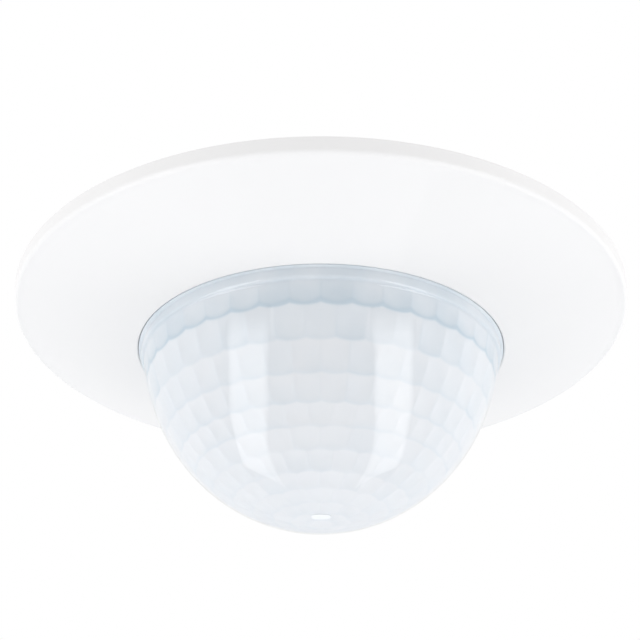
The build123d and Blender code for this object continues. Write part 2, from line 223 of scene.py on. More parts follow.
world = bpy.data.worlds.new("studio")
scene.world = world
world.use_nodes = True
wt = world.node_tree
bg = wt.nodes["Background"]
bg.inputs["Strength"].default_value = 1.0
sep = wt.nodes.new("ShaderNodeSeparateXYZ")
wt.links.new(wt.nodes.new("ShaderNodeTexCoord").outputs["Generated"], sep.inputs["Vector"])
wr = wt.nodes.new("ShaderNodeMapRange")
wr.inputs["From Min"].default_value = -0.9
wr.inputs["From Max"].default_value = 0.9
wt.links.new(sep.outputs["Y"], wr.inputs["Value"])
wt.links.new(ramp(wt, wr.outputs["Result"], [(0.0, (1.0, 1.0, 1.0)), (1.0, (0.79, 0.81, 0.835))]), bg.inputs["Color"])
bg.inputs["Strength"].default_value = 1.06


def soft_light(name, azimuth, elevation, distance, width, height, radiance, aim=(0.0, 0.0, -0.015), color=(1, 1, 1)):
    """A rectangular soft light; azimuth 0 is towards -Y, radiance in view units."""
    a, e = math.radians(azimuth), math.radians(elevation)
    d = Vector((math.sin(a) * math.cos(e), -math.cos(a) * math.cos(e), math.sin(e)))
    data = bpy.data.lights.new(name, "AREA")
    data.shape = "RECTANGLE"
    data.size, data.size_y = width, height
    data.energy = radiance * math.pi * width * height
    data.color = color
    o = bpy.data.objects.new(name, data)
    o.location = Vector(aim) + d * distance
    # long side of the light stands in the vertical plane through the aim point
    z = d
    x = Vector((math.cos(a), math.sin(a), 0.0))
    y = z.cross(x)
    o.rotation_euler = Matrix((x, y, z)).transposed().to_euler()
    o.visible_camera = False
    scene.collection.objects.link(o)
    return o


# Two long softboxes, left and right, each bent round under the object: inner and outer edge, in mm, of the left one
BOX_IN = [(-240, -438, -2), (-244, -435, -54), (-248, -421, -127), (-254, -376, -229), (-257, -306, -321), (-253, -210, -397),
          (-243, -88, -448), (-226, 26, -465), (-198, 79, -472), (-164, 149, -468), (-125, 238, -441)]
BOX_OUT = [(-418, -263, 40), (-419, -271, 9), (-427, -258, -57), (-431, -219, -150), (-427, -153, -231), (-413, -62, -295),
           (-392, -6, -330), (-354, 91, -361), (-306, 181, -371), (-238, 181, -421), (-166, 195, -449)]
BOX_RADIANCE = 3.0
BOX_POWER = [0.0, 0.35, 0.95, 1.05, 1.05, 1.0, 1.0, 0.95, 0.85, 0.65, 0.4]


def softbox(name, sx):
    m, t, out = new_material(name)
    e = t.nodes.new("ShaderNodeEmission")
    e.inputs["Color"].default_value = (1.0, 1.0, 1.0, 1.0)
    pw = t.nodes.new("ShaderNodeAttribute")
    pw.attribute_name = "power"
    t.links.new(pw.outputs["Fac"], e.inputs["Strength"])
    t.links.new(e.outputs["Emission"], out.inputs["Surface"])
    v, f, power = [], [], []
    steps = 12
    for i, (pi, po) in enumerate(zip(BOX_IN, BOX_OUT)):
        for k in range(steps + 1):
            q = Vector(pi).lerp(Vector(po), k / steps)
            c = Vector((0, 0, -20))
            q = c + (q - c).normalized() * 500.0
            v.append((sx * -q.x * MM, q.y * MM, q.z * MM))
            power.append(BOX_RADIANCE * BOX_POWER[i] * min(1.0, 0.15 + 0.55 * min(k, steps - k)))
    n = steps + 1
    for i in range(len(BOX_IN) - 1):
        for k in range(steps):
            a = i * n + k
            f.append((a, a + 1, a + n + 1, a + n))
    o = make_object(name, v, f, m)
    o.data.attributes.new("power", "FLOAT", "POINT").data.foreach_set("value", power)
    o.visible_camera = False
    o.visible_diffuse = False
    return o


softbox("softbox_left", -1)
softbox("softbox_right", 1)
for side in (-1, 1):
    lamp = soft_light("fill_%s" % ("left" if side < 0 else "right"), side * 90.0, -28.0, 0.6, 0.5, 0.5, 1.85)
    lamp.visible_glossy = False
soft_light("top_soft", 20.0, 62.0, 1.2, 1.2, 1.2, 1.6)


# ------------------------------------------------------------------ materials of the record's slots
MATS = {
    "cover_white": solid("cover_white", (0.844, 0.833, 0.828), rough=(0.36, 0.44), grain=2600.0, depth=0.000004,
                         strength=0.18, mottle=35.0, vary=0.005, specular=0.36, edge=0.0),
    "chassis_white": solid("chassis_white", (0.78, 0.78, 0.765), rough=(0.42, 0.55), grain=2200.0, depth=0.00001, vary=0.015, edge=0.0003),
    "mask_white": solid("mask_white", (0.76, 0.76, 0.75), rough=(0.45, 0.58), grain=2400.0, depth=0.000012, vary=0.015),
    "housing_grey": solid("housing_grey", (0.46, 0.475, 0.49), rough=(0.45, 0.6), grain=2300.0, depth=0.000015, strength=0.4, vary=0.03, edge=0.0004),
    "white_plastic": solid("white_plastic", (0.8, 0.8, 0.77), rough=(0.3, 0.42), grain=2600.0, vary=0.02),
    "blue_plastic": solid("blue_plastic", (0.02, 0.09, 0.36), rough=(0.25, 0.38), grain=2200.0, vary=0.08, coat=0.2),
    "black_plastic": solid("black_plastic", (0.015, 0.015, 0.017), rough=(0.35, 0.5), grain=2500.0, vary=0.15),
    "terminal_grey": solid("terminal_grey", (0.17, 0.185, 0.2), rough=(0.4, 0.52), grain=2300.0, vary=0.04),
    "relay_blue": solid("relay_blue", (0.012, 0.065, 0.3), rough=(0.25, 0.4), grain=1800.0, vary=0.06),
    "capacitor_yellow": solid("capacitor_yellow", (0.62, 0.4, 0.03), rough=(0.25, 0.4), grain=1800.0, vary=0.05),
    "rubber_grey": solid("rubber_grey", (0.025, 0.025, 0.027), rough=(0.62, 0.8), grain=2600.0, depth=0.00002, strength=0.5, vary=0.12, specular=0.35),
    "circuit_board": solid("circuit_board", (0.012, 0.075, 0.03), rough=(0.25, 0.42), grain=1500.0, mottle=500.0, vary=0.12, coat=0.25),
    "ferrite": solid("ferrite", (0.03, 0.03, 0.032), rough=(0.55, 0.75), grain=3000.0, vary=0.15),
    "nickel_can": solid("nickel_can", (0.62, 0.59, 0.54), rough=(0.16, 0.3), metallic=1.0, grain=1400.0, vary=0.05, stretch=(1, 1, 0.08)),
    "infrared_window": solid("infrared_window", (0.02, 0.018, 0.024), rough=(0.05, 0.1), grain=900.0, vary=0.1, coat=0.6, coat_rough=0.05),
    "aluminium_can": solid("aluminium_can", (0.68, 0.69, 0.71), rough=(0.22, 0.35), metallic=1.0, grain=1200.0, stretch=(1, 1, 0.05), vary=0.04),
    "steel": solid("steel", (0.52, 0.53, 0.53), rough=(0.2, 0.38), metallic=1.0, grain=1500.0, vary=0.06),
    "spring_steel": solid("spring_steel", (0.48, 0.48, 0.5), rough=(0.16, 0.32), metallic=1.0, grain=900.0, stretch=(0.15, 1, 1), vary=0.06),
    "brass": solid("brass", (0.66, 0.45, 0.16), rough=(0.22, 0.36), metallic=1.0, grain=1500.0, vary=0.06),
    "led_red": solid("led_red", (0.42, 0.012, 0.01), rough=(0.08, 0.16), grain=900.0, vary=0.08, coat=0.5, coat_rough=0.05),
    "led_green": solid("led_green", (0.03, 0.3, 0.05), rough=(0.08, 0.16), grain=900.0, vary=0.08, coat=0.5, coat_rough=0.05),
    "clear_plastic": solid("clear_plastic", (0.72, 0.78, 0.82), rough=(0.1, 0.2), grain=900.0, vary=0.03, coat=0.5, coat_rough=0.05),
}

slot_of = {s["node"]: s["material_slot"] for s in frame["record"]["subparts"]}
for node, obj in frame["nodes"].items():
    s = slot_of.get(node)
    if s in MATS:
        for k in range(len(obj.material_slots)):
            obj.material_slots[k].link = "DATA"
            obj.material_slots[k].material = MATS[s]


# ------------------------------------------------------------------ lens: milky faceted shell under a clear smooth skin
RHO = (27.685, -0.328, 0.3675, -0.0245)
DOME_C = -6.43


def rho(phi):
    return RHO[0] + RHO[1] * phi ** 2 + RHO[2] * phi ** 4 + RHO[3] * phi ** 6


# rows of facets from the collar down: (upper angle, lower angle, facets, facet boundary at azimuth 0?, bulge mm)
ROWS = [
    (86.75, 80.3, 40, True, 0.10),
    (80.3, 70.0, 40, False, 0.13),
    (70.0, 60.3, 40, True, 0.13),
    (60.3, 51.7, 40, True, 0.13),
    (51.7, 44.3, 40, False, 0.12),
    (44.3, 36.7, 28, True, 0.12),
    (36.7, 29.0, 28, False, 0.12),
    (29.0, 22.0, 24, True, 0.11),
    (22.0, 15.3, 16, False, 0.10),
    (15.3, 9.3, 12, True, 0.09),
    (9.3, 4.6, 8, False, 0.07),
]
# scallops of the boundary below each row: (facets, boundary at 0, amplitude in degrees; + hangs down in mid facet of the upper row, - arches up in mid facet of the lower row)
SCALLOPS = [
    ("upper", 1.0), ("upper", 0.7), ("upper", 0.6), ("upper", 0.6), ("lower", 0.45),
    ("lower", 0.55), ("lower", 0.6), ("lower", 0.7), ("lower", 0.8), ("lower", 0.8), (None, 0.0),
]


def facet_u(alpha_deg, count, at_zero):
    """Position inside a facet, -1..1, and the facet's number."""
    pitch = 360.0 / count
    x = alpha_deg / pitch + (0.0 if at_zero else 0.5)
    k = math.floor(x + 1e-9)
    return 2.0 * (x - k) - 1.0, k % count


def boundary_phi(i, alpha_deg):
    """Angle of the boundary below row i at this azimuth."""
    base = ROWS[i][1]
    kind, amp = SCALLOPS[i]
    if kind == "upper":
        u, _ = facet_u(alpha_deg, ROWS[i][2], ROWS[i][3])
        return base - amp * (0.5 - u * u)
    if kind == "lower":
        u, _ = facet_u(alpha_deg, ROWS[i + 1][2], ROWS[i + 1][3])
        return base + amp * (0.5 - u * u)
    return base


def point(r_axis, z, alpha_deg):
    a = math.radians(alpha_deg)
    return (r_axis * math.sin(a) * MM, -r_axis * math.cos(a) * MM, z * MM)


def shell_point(phi_deg, depth, alpha_deg):
    """A point of the dome, depth mm inside the outer surface."""
    ph = math.radians(phi_deg)
    R = rho(ph) - depth
    return point(R * math.sin(ph), DOME_C - R * math.cos(ph), alpha_deg)


def ring_of(phi_depth, ncol):
    return [shell_point(*phi_depth(360.0 * k / ncol), 360.0 * k / ncol) for k in range(ncol)]


def stitch(faces, a, na, b, nb):
    """Joins a ring of na points starting at index a to a ring of nb points starting at b, both starting at azimuth 0."""
    if na == nb:
        for k in range(na):
            faces.append((a + k, a + (k + 1) % na, b + (k + 1) % nb, b + k))
        return
    i = j = 0
    while i < na or j < nb:
        if j >= nb or (i < na and (i + 1) / na <= (j + 1) / nb):
            faces.append((a + i, a + (i + 1) % na, b + j % nb))
            i += 1
        else:
            faces.append((a + i % na, b + (j + 1) % nb, b + j))
            j += 1


def facet_random(i, k):
    x = math.sin(i * 12.9898 + k * 78.233 + 4.1) * 43758.5453
    return 2.0 * (x - math.floor(x)) - 1.0


def facet_tone_and_painted_shade(i, k, u, w):
    """Tone of one facet, lighter or darker than the milky plastic's mean, from -1 to 1: a random tone per facet plus
    painted shade that follows the facet's dished profile and its row; w is -1 at its upper edge.
    """
    edge = 1.0 - (1.0 - u * u) * (1.0 - w * w)
    # random tone per facet, plus painted shade: lighter at the facet's upper edge, darker at its lower edge and along
    # its edges
    value = 0.18 * facet_random(i, k) - 0.22 * w - 0.09 * edge ** 6
    # painted shade: the rows nearest the collar are darker, fading row by row, for the dark inside seen through the
    # lens, with darker bands along the boundaries between these rows
    if i == 0:
        value -= 0.8 * max(0.0, (w - 0.55) / 0.45) ** 2 * (0.4 + 0.6 * u * u) + 1.08
    elif i == 1:
        value -= 0.5 * max(0.0, (-w - 0.6) / 0.4) ** 2 + 0.64
    elif i <= 4:
        value -= 0.25 * max(0.0, (w - 0.6) / 0.4) ** 2 + 0.36 - 0.12 * (i - 1)
    else:
        value += 0.0
    return value


def faceted_surface(verts, faces, skin, sign, tones, coarse=False):
    """Rows of dished facets. sign +1 dishes away from the outer surface. Returns (first ring index, count) and (last
    ring index, count).
    """
    cols = [560, 560, 560, 560, 560, 560, 560, 480, 288, 216, 128]
    steps = [9, 11, 11, 10, 10, 10, 10, 9, 8, 7, 6]
    if coarse:
        cols = [280, 280, 280, 280, 280, 280, 280, 240, 144, 108, 64]
        steps = [4, 5, 5, 5, 5, 5, 5, 4, 4, 4, 3]
    first = None
    prev = None
    for i, (hi, lo, count, at_zero, bulge) in enumerate(ROWS):
        n = steps[i]
        for j in range(0 if i == 0 else 1, n + 1):
            v = j / n
            nc = cols[i]
            if j == n and i + 1 < len(ROWS):
                nc = cols[i]
            ring = []
            for k in range(nc):
                al = 360.0 * k / nc
                top = hi if i == 0 else boundary_phi(i - 1, al)
                bot = boundary_phi(i, al)
                ph = top + (bot - top) * v
                u, number = facet_u(al, count, at_zero)
                w = 2.0 * v - 1.0
                dish = BULGE * bulge * (1.0 - u * u) * (1.0 - w * w)
                ring.append(shell_point(ph, skin + sign * dish, al))
                tones.append(facet_tone_and_painted_shade(i, number, u, w))
            start = len(verts)
            verts.extend(ring)
            if prev is not None:
                a, na = prev
                n_before = len(faces)
                stitch(faces, a, na, start, nc)
            else:
                first = (start, nc)
            prev = (start, nc)
        # next row may have fewer columns: handled by stitch, which needs a whole ratio
    return first, prev


BULGE = 2.0


def build_core(name, skin, inner_gap):
    """Milky body of the lens: faceted outside and inside, plain collar, closed."""
    verts, faces, tones = [], [], []
    first, last = faceted_surface(verts, faces, skin, +1.0, tones)
    # cap at the apex: smooth rings down to the gate
    a, na = last
    for ph in (3.2, 1.6):
        start = len(verts)
        verts.extend(shell_point(ph, skin, 360.0 * k / na) for k in range(na))
        stitch(faces, a, na, start, na)
        a = start
    apex = len(verts)
    verts.append(shell_point(0.0, skin, 0.0))
    faces.extend((a + k, a + (k + 1) % na, apex) for k in range(na))
    tones.extend([0.1] * (len(verts) - len(tones)))
    outer_first = first
    # collar: outside, top, inside
    prof = [(28.50, -8.0), (28.66, -7.97), (28.8, -7.86), (28.88, -7.7), (28.93, -7.5), (28.98, -6.55), (29.04, -6.45), (29.36, -6.4),
            (29.42, -6.34), (29.43, -6.2), (29.43, -4.7), (29.3, -4.5), (29.0, -4.4), (29.0, -1.8), (28.9, -1.7),
            (28.2, -1.7), (28.1, -1.8), (28.1, -5.4), (28.0, -6.2), (27.75, -7.2)]
    a, na = outer_first
    for r, z in prof:
        start = len(verts)
        verts.extend(point(r, z, 360.0 * k / na) for k in range(na))
        stitch(faces, start, na, a, na)
        a = start
    # inside surface with the same facets standing inwards
    inside = []
    v2, f2, t2 = [], [], []
    first2, last2 = faceted_surface(v2, f2, inner_gap, +0.4, t2, coarse=True)
    off = len(verts)
    # the collar gets the darkest tone: painted shade of the collar sitting in the ring's hole
    tones.extend([-1.0] * (off - len(tones)))
    verts.extend(v2)
    tones.extend(t2)
    faces.extend(tuple(off + i for i in reversed(f)) for f in f2)
    b, nb = first2[0] + off, first2[1]
    stitch(faces, b, nb, a, na)
    c, nc = last2[0] + off, last2[1]
    for ph in (3.2, 1.6):
        start = len(verts)
        verts.extend(shell_point(ph, inner_gap, 360.0 * k / nc) for k in range(nc))
        stitch(faces, start, nc, c, nc)
        c = start
    apex = len(verts)
    verts.append(shell_point(0.0, inner_gap, 0.0))
    faces.extend((c + (k + 1) % nc, c + k, apex) for k in range(nc))
    tones.extend([0.0] * (len(verts) - len(tones)))
    return verts, faces, tones


m_core, t, out = new_material("lens_milky_body")
diff = t.nodes.new("ShaderNodeBsdfDiffuse")
trans = t.nodes.new("ShaderNodeBsdfTranslucent")
mix = t.nodes.new("ShaderNodeMixShader")
mix.inputs["Fac"].default_value = 0.12
slow = noise(t, 140.0, 3.0)
# the per-vertex tone attribute carries a random tone per facet and painted shade: facet edges painted lit and shaded,
# rows and collar near the ring painted darker
tone = t.nodes.new("ShaderNodeAttribute")
tone.attribute_name = "facet_tone_and_painted_shade"
lift = t.nodes.new("ShaderNodeMath")
lift.operation = "MULTIPLY_ADD"
t.links.new(tone.outputs["Fac"], lift.inputs[0])
lift.inputs[1].default_value = 0.30
t.links.new(span(t, slow, 0.43, 0.57), lift.inputs[2])
# the dark blue-grey stops at the low end of this ramp give the painted shade
col = ramp(t, lift.outputs["Value"], [(0.0, (0.60, 0.69, 0.76)), (0.25, (0.78, 0.82, 0.86)), (0.5, (0.850, 0.865, 0.888)), (1.0, (0.908, 0.908, 0.924))])
t.links.new(col, diff.inputs["Color"])
t.links.new(col, trans.inputs["Color"])
t.links.new(diff.outputs["BSDF"], mix.inputs[1])
t.links.new(trans.outputs["BSDF"], mix.inputs[2])
t.links.new(mix.outputs["Shader"], out.inputs["Surface"])

SKIN_F0 = 0.048
m_skin, t, out = new_material("lens_clear_skin")
gl = t.nodes.new("ShaderNodeBsdfGlossy")
gl.inputs["Color"].default_value = (1, 1, 1, 1)
fine = noise(t, 260.0, 3.0)
t.links.new(span(t, fine, 0.045, 0.075), gl.inputs["Roughness"])
wav = noise(t, 45.0, 2.0)
cells = noise(t, 230.0, 1.0, 0.4)
t.links.new(bump(t, cells, 0.35, 0.00012, bump(t, wav, 0.12, 0.0004)), gl.inputs["Normal"])
tr = t.nodes.new("ShaderNodeBsdfTransparent")
fac = t.nodes.new("ShaderNodeLayerWeight")
fac.inputs["Blend"].default_value = 0.5
pw = t.nodes.new("ShaderNodeMath")
pw.operation = "POWER"
pw.inputs[1].default_value = 5.0
t.links.new(fac.outputs["Facing"], pw.inputs[0])
sch = t.nodes.new("ShaderNodeMath")
sch.operation = "MULTIPLY_ADD"
sch.inputs[1].default_value = 1.0 - SKIN_F0
sch.inputs[2].default_value = SKIN_F0
t.links.new(pw.outputs["Value"], sch.inputs[0])
mix = t.nodes.new("ShaderNodeMixShader")
t.links.new(sch.outputs["Value"], mix.inputs["Fac"])
t.links.new(tr.outputs["BSDF"], mix.inputs[1])
t.links.new(gl.outputs["BSDF"], mix.inputs[2])
t.links.new(mix.outputs["Shader"], out.inputs["Surface"])

m_under, t, out = new_material("lens_skin_underside")
tr = t.nodes.new("ShaderNodeBsdfTransparent")
t.links.new(tr.outputs["BSDF"], out.inputs["Surface"])

verts, faces, tones = build_core("lens_body", 0.14, 0.80)
lens_body = make_object("lens_body", verts, faces, m_core)
lens_body.data.attributes.new("facet_tone_and_painted_shade", "FLOAT", "POINT").data.foreach_set("value", tones)

# clear skin: smooth shell over the milky body, with the collar, the step and the gate mark
GATE_R, GATE_H = 3.3, 0.03
outer = []
gate_phi = math.degrees(GATE_R / (rho(0.0)))
phis = [86.75 - k * (86.75 - gate_phi - 0.6) / 88 for k in range(89)]
outer += [(rho(math.radians(p)) * math.sin(math.radians(p)), DOME_C - rho(math.radians(p)) * math.cos(math.radians(p))) for p in phis]


def skin_pt(p, lift):
    R = rho(math.radians(p)) + lift
    return (R * math.sin(math.radians(p)), DOME_C - R * math.cos(math.radians(p)))


collar = [(29.04, -6.54), (29.06, -6.6), (29.08, -6.75),
          (29.03, -7.5), (28.98, -7.8), (28.9, -7.96), (28.78, -8.05), (28.68, -8.085), (28.6, -8.085)]
gate = [skin_pt(gate_phi + 0.25, -0.0), skin_pt(gate_phi + 0.08, -0.004), skin_pt(gate_phi - 0.02, -0.014),
        skin_pt(gate_phi - 0.12, -0.025), skin_pt(gate_phi - 0.35, -GATE_H), skin_pt(gate_phi - 1.2, -GATE_H),
        skin_pt(3.5, -GATE_H), skin_pt(1.6, -GATE_H)]
prof_out = collar + outer + gate
SK = 0.06
prof_in = [(29.0 - 0.0, -1.9)]
n_sk = 180
verts, faces, fm = [], [], []


def revolve_profile(profile, n, verts, faces, fm, index, flip=False, close_tip=None):
    prev = None
    first = None
    for r, z in profile:
        start = len(verts)
        verts.extend(point(r, z, 360.0 * k / n) for k in range(n))
        if prev is not None:
            before = len(faces)
            if flip:
                stitch(faces, start, n, prev, n)
            else:
                stitch(faces, prev, n, start, n)
            fm.extend([index] * (len(faces) - before))
        else:
            first = start
        prev = start
    if close_tip is not None:
        tip = len(verts)
        verts.append(point(0.0, close_tip, 0.0))
        before = len(faces)
        if flip:
            faces.extend((prev + (k + 1) % n, prev + k, tip) for k in range(n))
        else:
            faces.extend((prev + k, prev + (k + 1) % n, tip) for k in range(n))
        fm.extend([index] * (len(faces) - before))
    return first, prev


f1, l1 = revolve_profile(prof_out, n_sk, verts, faces, fm, 0, close_tip=skin_pt(0.0, -GATE_H)[1])
inner_prof = [(28.99, -6.56), (29.01, -6.62), (29.02, -6.75),
              (28.97, -7.5), (28.92, -7.78), (28.84, -7.92), (28.74, -8.0), (28.62, -8.03), (28.56, -8.03)]
inner_prof += [skin_pt(p, -SK) for p in phis[1:]]
inner_prof += [skin_pt(gate_phi, -0.09), skin_pt(3.5, -0.09), skin_pt(1.6, -0.09)]
f2, l2 = revolve_profile(inner_prof, n_sk, verts, faces, fm, 1, flip=True, close_tip=skin_pt(0.0, -0.09)[1])
before = len(faces)
stitch(faces, f2, n_sk, f1, n_sk)
fm.extend([1] * (len(faces) - before))
lens_skin = make_object("lens_skin", verts, faces, materials=[m_skin, m_under], face_materials=fm)

# small raised gate mark beside the apex, coloured white as a painted highlight of the gate stub
def gate_mark():
    a, b, n = 1.42, 0.74, 48
    verts, faces = [], []
    levels = [(1.0, -0.34), (1.0, 0.0), (0.95, 0.012), (0.85, 0.02), (0.6, 0.024), (0.3, 0.024)]
    for share, lift in levels:
        for k in range(n):
            th = 2 * math.pi * k / n
            cx = math.copysign(abs(math.cos(th)) ** 0.62, math.cos(th)) * (a - 0.07 * (1 - share) * 10 * 0.1) * share
            cy = math.copysign(abs(math.sin(th)) ** 0.62, math.sin(th)) * b * share
            x, y = cx, -3.36 + cy
            r = math.hypot(x, y)
            ph = math.asin(r / rho(r / 27.7))
            R = rho(ph) + lift
            verts.append((x / r * R * math.sin(ph) * MM, y / r * R * math.sin(ph) * MM, (DOME_C - R * math.cos(ph)) * MM))
    for j in range(len(levels) - 1):
        stitch(faces, j * n, n, (j + 1) * n, n)
    faces.append(tuple((len(levels) - 1) * n + k for k in range(n)))
    faces.append(tuple(reversed(range(n))))
    return make_object("lens_gate_mark_painted_highlight", verts, faces, MATS["gate_white"])


# white colour of the gate mark: painted highlight
MATS["gate_white"] = solid("gate_white", (0.88, 0.895, 0.92), rough=(0.3, 0.4), grain=1500.0, depth=0.000003, vary=0.01, specular=0.2, edge=0.0)
lens_gate = gate_mark()
lens_gate.data.set_sharp_from_angle(angle=math.radians(50.0))
for o in (lens_body, lens_skin, lens_gate):
    outward(o)
    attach(o, "lens")
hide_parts("lens_dome")


# ------------------------------------------------------------------ built pieces
def settle(ob, body, node=None, angle=32.0):
    outward(ob)
    ob.data.set_sharp_from_angle(angle=math.radians(angle))
    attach(ob, body)
    if node:
        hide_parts(node)
    return ob


def arc3(a, b, c, n):
    """Points of the circular arc from a through b to c, without the last one."""
    (ax, ay), (bx, by), (cx, cy) = a, b, c
    d = 2 * (ax * (by - cy) + bx * (cy - ay) + cx * (ay - by))
    ux = ((ax * ax + ay * ay) * (by - cy) + (bx * bx + by * by) * (cy - ay) + (cx * cx + cy * cy) * (ay - by)) / d
    uy = ((ax * ax + ay * ay) * (cx - bx) + (bx * bx + by * by) * (ax - cx) + (cx * cx + cy * cy) * (bx - ax)) / d
    R = math.hypot(ax - ux, ay - uy)
    t0 = math.atan2(ay - uy, ax - ux)
    tb = math.atan2(by - uy, bx - ux)
    t1 = math.atan2(cy - uy, cx - ux)
    turn = lambda t: (t - t0) % (2 * math.pi)
    sweep = turn(t1) if turn(tb) <= turn(t1) else turn(t1) - 2 * math.pi
    return [(ux + R * math.cos(t0 + sweep * k / n), uy + R * math.sin(t0 + sweep * k / n)) for k in range(n)]


def closed_spin(profile, n, verts, faces, cx=0.0, cy=0.0):
    """Solid of revolution of a closed outline (r, z) about the vertical through cx, cy."""
    base = len(verts)
    for r, z in profile:
        for k in range(n):
            x, y, zz = point(r, z, 360.0 * k / n)
            verts.append((x + cx * MM, y + cy * MM, zz))
    m = len(profile)
    for j in range(m):
        a, b = base + j * n, base + ((j + 1) % m) * n
        for k in range(n):
            faces.append((a + k, a + (k + 1) % n, b + (k + 1) % n, b + k))


def prism(outline, z0, z1, verts, faces):
    """Upright prism from a closed outline (x, y) in mm."""
    base, n = len(verts), len(outline)
    step = 0.0012 * ((base * 7) % 23) / 23      # neighbouring strokes keep their own faces
    z0, z1 = z0 + step, z1 - step
    verts.extend((x * MM, y * MM, z0 * MM) for x, y in outline)
    verts.extend((x * MM, y * MM, z1 * MM) for x, y in outline)
    faces.append(tuple(base + k for k in reversed(range(n))))
    faces.append(tuple(base + n + k for k in range(n)))
    for k in range(n):
        faces.append((base + k, base + (k + 1) % n, base + n + (k + 1) % n, base + n + k))


def stroke(x0, y0, x1, y1, width, z0, z1, verts, faces):
    d = Vector((x1 - x0, y1 - y0))
    d.normalize()
    px, py = -d.y * width / 2, d.x * width / 2
    ex, ey = d.x * width / 2, d.y * width / 2
    prism([(x0 - ex + px, y0 - ey + py), (x0 - ex - px, y0 - ey - py), (x1 + ex - px, y1 + ey - py), (x1 + ex + px, y1 + ey + py)],
          z0, z1, verts, faces)


def ring_stroke(cx, cy, r, width, z0, z1, verts, faces, n=36):
    closed_spin([(r - width / 2, z0), (r + width / 2, z0), (r + width / 2, z1), (r - width / 2, z1)], n, verts, faces, cx, cy)


def wire(path, radius, verts, faces, sides=16):
    """Round wire along a path, in mm, with domed ends."""
    pts = [Vector(q) for q in path]
    n = len(pts)
    tang = [(pts[min(i + 1, n - 1)] - pts[max(i - 1, 0)]).normalized() for i in range(n)]
    up = Vector((0, 0, 1)) if abs(tang[0].z) < 0.9 else Vector((1, 0, 0))
    normal = (up - tang[0] * up.dot(tang[0])).normalized()
    rows = []
    for i in range(n):
        if i:
            axis = tang[i - 1].cross(tang[i])
            if axis.length > 1e-9:
                normal = (Matrix.Rotation(tang[i - 1].angle(tang[i]), 3, axis.normalized()) @ normal).normalized()
        side = tang[i].cross(normal)
        if i == 0:
            steps = [(-radius * math.cos(a), radius * math.sin(a)) for a in (0.35, 0.8, 1.2)]
        elif i == n - 1:
            steps = [(radius * math.cos(a), radius * math.sin(a)) for a in (1.2, 0.8, 0.35)]
        else:
            steps = []
        ends = [(pts[i] + tang[i] * along * 0.6, r) for along, r in steps]
        ring_rows = ends + [(pts[i], radius)] if i == 0 else [(pts[i], radius)] + ends
        for c, r in ring_rows:
            start = len(verts)
            for k in range(sides):
                a = 2 * math.pi * k / sides
                verts.append((c + normal * math.cos(a) * r + side * math.sin(a) * r) * MM)
            rows.append(start)
    for a, b in zip(rows, rows[1:]):
        for k in range(sides):
            faces.append((a + k, a + (k + 1) % sides, b + (k + 1) % sides, b + k))
    faces.append(tuple(rows[0] + k for k in reversed(range(sides))))
    faces.append(tuple(rows[-1] + k for k in range(sides)))


# cover ring, finely turned
RING_R, HOLE_R, HOLE_Z, RIM, BOW, WALL = 49.0, 29.5, -6.43, 2.17, 0.35, 1.6


def face_z(r):
    u = (RING_R - r) / (RING_R - HOLE_R)
    return -RIM + (HOLE_Z + RIM) * u - BOW * 4 * u * (1 - u)


r1, r2 = RING_R - 0.7, HOLE_R + 0.35
mid = (r1 + r2) / 2
profile = [(49.28, 0.0), (49.26, -0.22), (49.21, -0.6), (49.14, -1.1)]
profile += arc3((49.08, -RIM + 0.55), (48.83, -RIM - 0.02), (r1, face_z(r1)), 8)
profile += arc3((r1, face_z(r1)), (mid, face_z(mid)), (r2, face_z(r2) + 0.02), 26)
profile += arc3((r2, face_z(r2) + 0.02), (HOLE_R + 0.1, HOLE_Z + 0.12), (HOLE_R, HOLE_Z + 0.4), 6)
profile += [(HOLE_R, HOLE_Z + 0.4), (HOLE_R, HOLE_Z + 2.0), (HOLE_R + 0.1, HOLE_Z + 2.1), (HOLE_R + 1.3, HOLE_Z + 2.1)]
profile += arc3((HOLE_R + 1.35, HOLE_Z + 2.12), (mid, face_z(mid) + WALL), (46.4, face_z(46.4) + WALL), 14)
profile += [(46.4, face_z(46.4) + WALL), (47.1, -0.1), (47.2, 0.0)]
verts, faces = [], []
closed_spin(profile, 288, verts, faces)
for centre in (0, 90, 180, 270):            # skirt segments that grip the chassis flange
    base = len(verts)
    inner_r, outer_r, z0, z1, c = 42.12, 43.35, -2.6, -0.25, 0.18
    section = [(inner_r, z0), (inner_r, z1 - c), (inner_r + c, z1), (outer_r - c, z1), (outer_r, z1 - c), (outer_r, z0)]
    n = 24
    for k in range(n + 1):
        al = centre - 15 + 30 * k / n
        verts.extend(point(r, z, al) for r, z in section)
    m = len(section)
    for k in range(n):
        for j in range(m):
            a = base + k * m
            faces.append((a + j, a + (j + 1) % m, a + m + (j + 1) % m, a + m + j))
    faces.append(tuple(base + j for j in range(m)))
    faces.append(tuple(base + n * m + j for j in reversed(range(m))))
settle(make_object("cover_ring_shell", verts, faces, MATS["cover_white"]), "ring", "cover_ring", 28.0)

# torsion springs round the clip pins
for side, name in ((1, "right"), (-1, "left")):
    cx, cz, R, y1, turns = 30.4, 7.0, 1.7, 1.9, 5
    path = [(cx + 6.2 - 0.25, y1, cz + 1.62)]
    path += [(cx + x, y1, cz + 1.62 + 0.08 * (1 - x / 6.0)) for x in (5.0, 4.0, 3.0, 2.0, 1.2, 0.6, 0.3)]
    n = 28 * turns + 7
    for k in range(n + 1):
        th = math.radians(90.0) + 2 * math.pi * k / 28
        share = k / n
        flare = max(0.0, (k - n + 5) / 5.0)
        path.append((cx + (R + 0.34 * flare) * math.cos(th), y1 - 2 * y1 * share, cz + R * math.sin(th)))
    path = [(side * x, y, z) for x, y, z in path]
    verts, faces = [], []
    wire(path, 0.33, verts, faces)
    settle(make_object("torsion_spring_" + name, verts, faces, MATS["spring_steel"]), "arm_" + name,
           "clip_spring_" + name)

